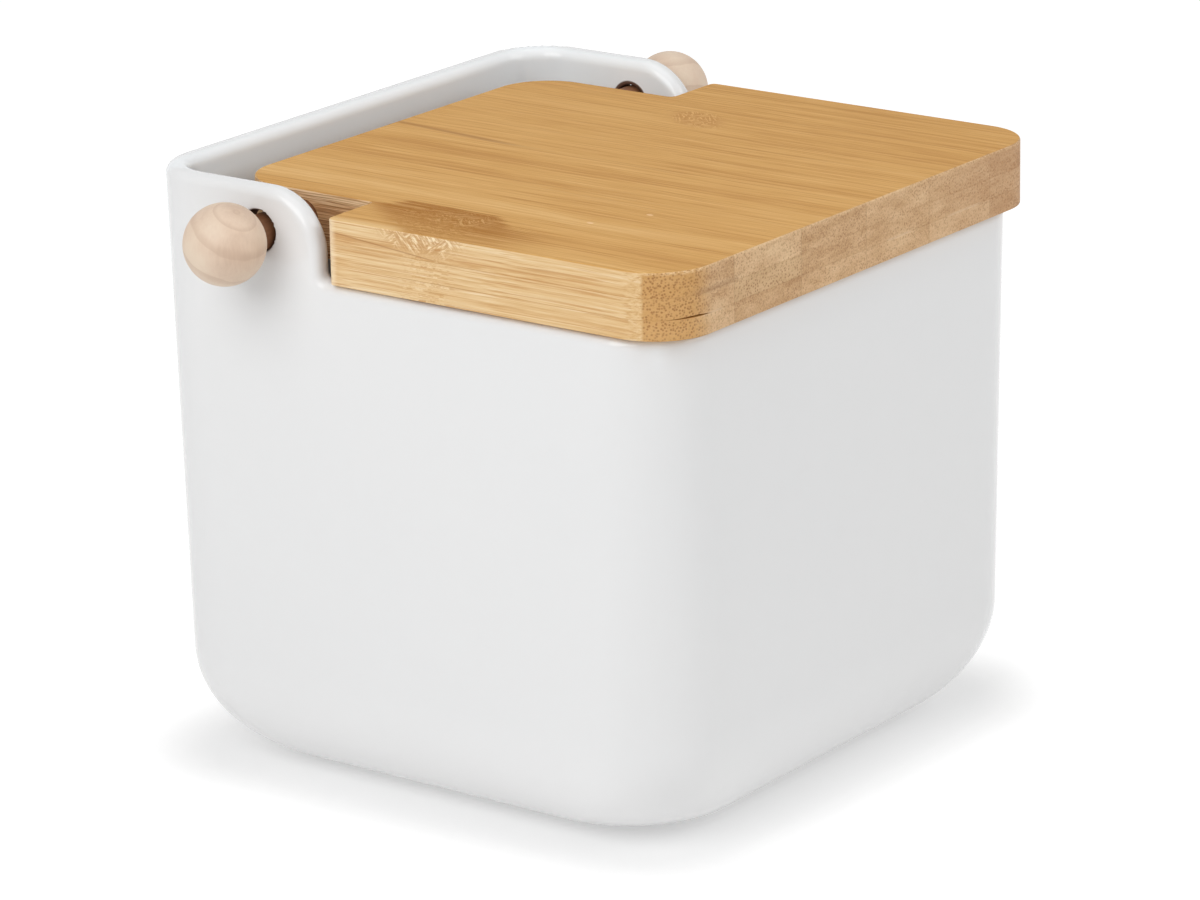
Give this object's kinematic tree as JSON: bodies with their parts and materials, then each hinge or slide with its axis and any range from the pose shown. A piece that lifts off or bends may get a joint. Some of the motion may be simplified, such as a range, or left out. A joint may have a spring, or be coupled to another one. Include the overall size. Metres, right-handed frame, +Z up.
{
  "type": "salt box with hinged lid",
  "caption": "Rounded white porcelain salt box with a raised back and two ears, and a laminated bamboo lid that swings up on a wooden dowel with ball knobs.",
  "frame": {"origin": "middle of the whole outline seen from above, on the surface that the box stands on", "axes": "+X along the hinge dowel to the viewer's right when the low front rim faces the viewer, +Y from the low front rim to the raised back, +Z up"},
  "size_m": [0.1512, 0.1188, 0.1133],
  "materials": {
    "porcelain": "clear gloss glaze over white porcelain",
    "bamboo_face": "satin oiled bamboo, long grain from front to back",
    "bamboo_core": "satin oiled bamboo, core layer",
    "dowel_wood": "plain turned hardwood",
    "knob_wood": "fine sanded pale hardwood, clear matt"
  },
  "bodies": {
    "box": {"salt_box": "porcelain"},
    "lid": {"lid_top_ply": "bamboo_face", "lid_core_ply": "bamboo_core", "lid_bottom_ply": "bamboo_face"},
    "hinge_pin": {"hinge_dowel": "dowel_wood", "left_knob": "knob_wood", "right_knob": "knob_wood"}
  },
  "joints": [
    {"name": "lid_hinge", "type": "hinge", "parent": "box", "child": "lid", "pos_m": [0, 0.0316, 0.1046], "axis": [-1, 0, 0], "range_deg": [0, 125]},
    {"name": "pin_spin", "type": "hinge", "parent": "box", "child": "hinge_pin", "pos_m": [0, 0.0316, 0.1046], "axis": [1, 0, 0], "continuous": true}
  ]
}
